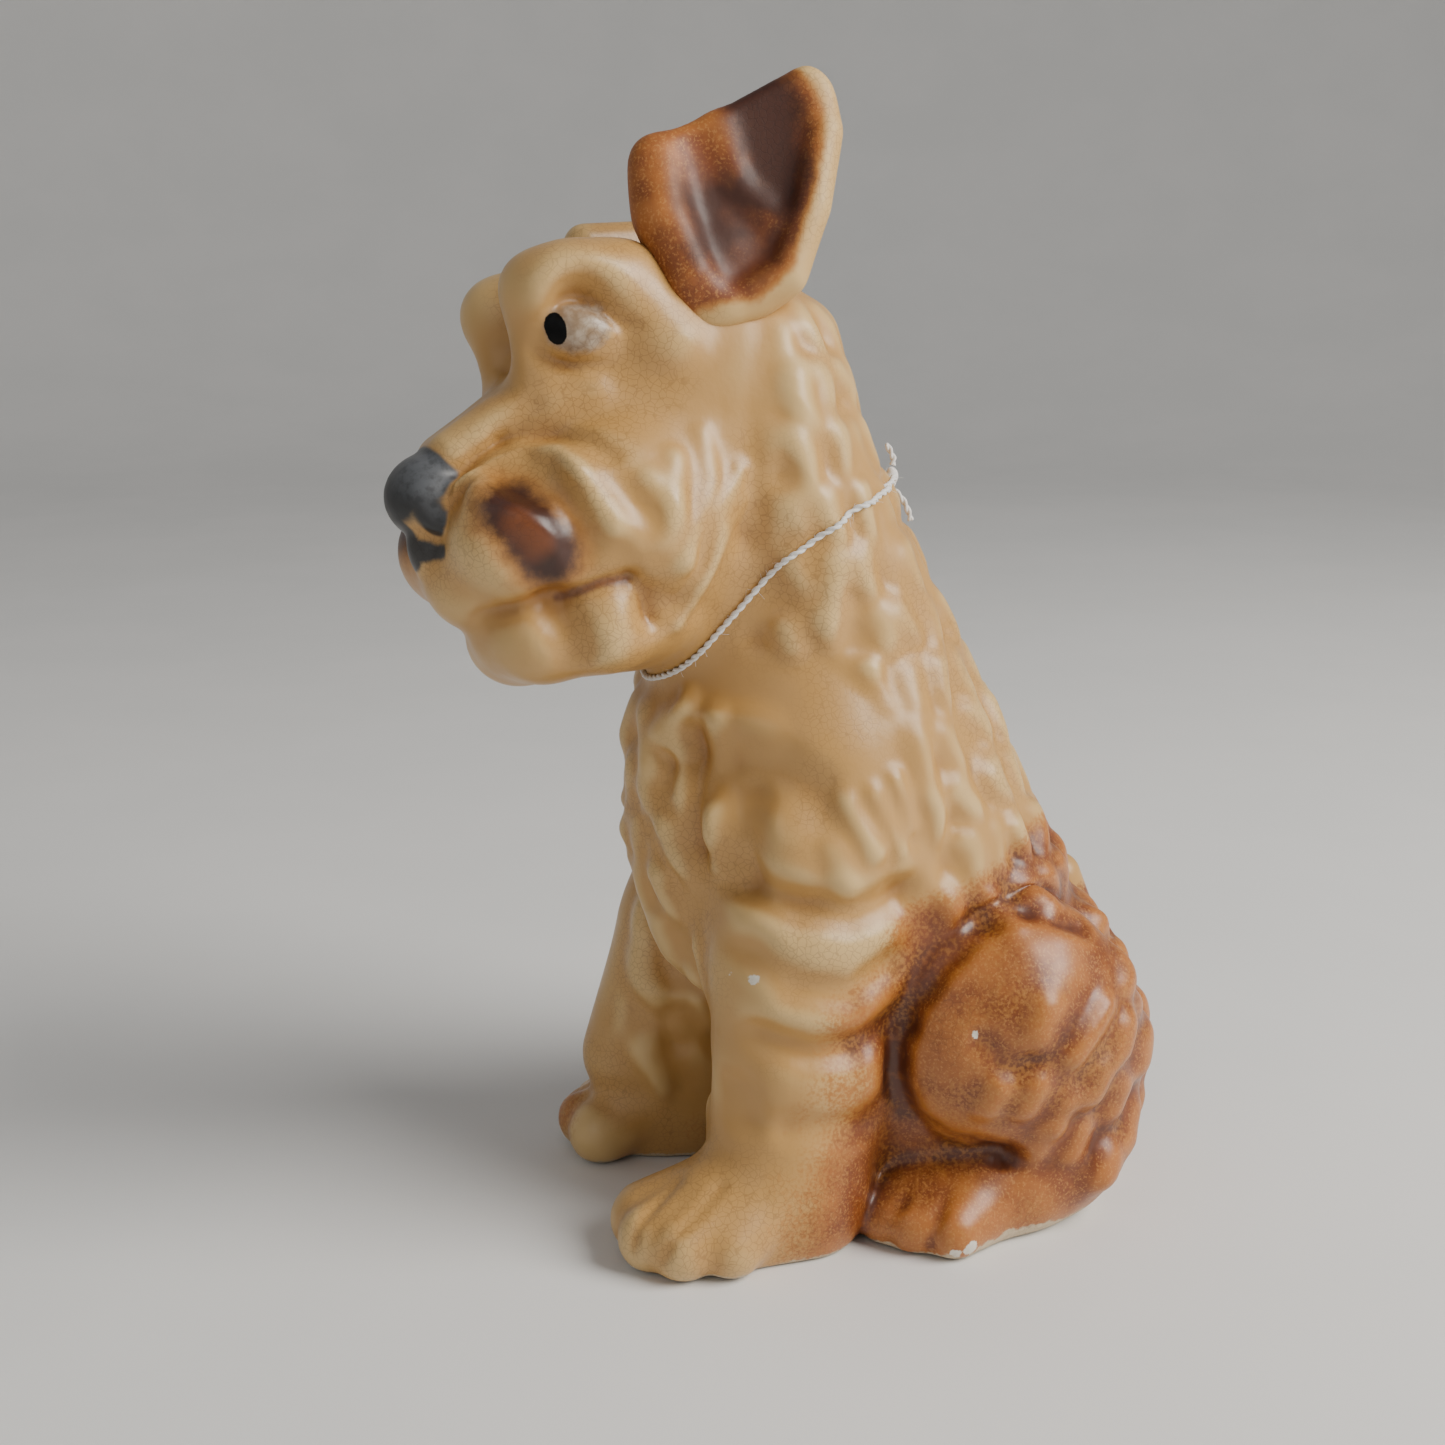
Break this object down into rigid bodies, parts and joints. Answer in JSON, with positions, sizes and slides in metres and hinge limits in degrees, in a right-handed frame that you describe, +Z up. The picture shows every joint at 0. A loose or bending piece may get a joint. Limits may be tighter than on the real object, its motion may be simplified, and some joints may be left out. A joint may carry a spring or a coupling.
{
  "type": "ceramic dog figurine",
  "caption": "Seated terrier figurine: a hollow glazed casting with one ear up and one folded, a stub tail, and a thin cotton string tied round its neck.",
  "frame": {"origin": "centre of the figure's plan outline, on the surface it stands on", "axes": "+Z up, -Y the way the dog faces, +X towards the dog's left side"},
  "size_m": [0.086, 0.141, 0.203],
  "materials": {
    "honey_glaze": "gloss, fine crazing, sprayed brown shading",
    "brown_glaze": "gloss, pooled brown",
    "cotton_string": "two-ply twist, matt, slightly fuzzy"
  },
  "bodies": {
    "root": {"body_casting": "honey_glaze", "upright_ear": "brown_glaze", "folded_ear": "honey_glaze", "tail": "honey_glaze", "neck_string": "cotton_string", "string_knot": "cotton_string", "string_end_up": "cotton_string", "string_end_down": "cotton_string"}
  },
  "joints": []
}
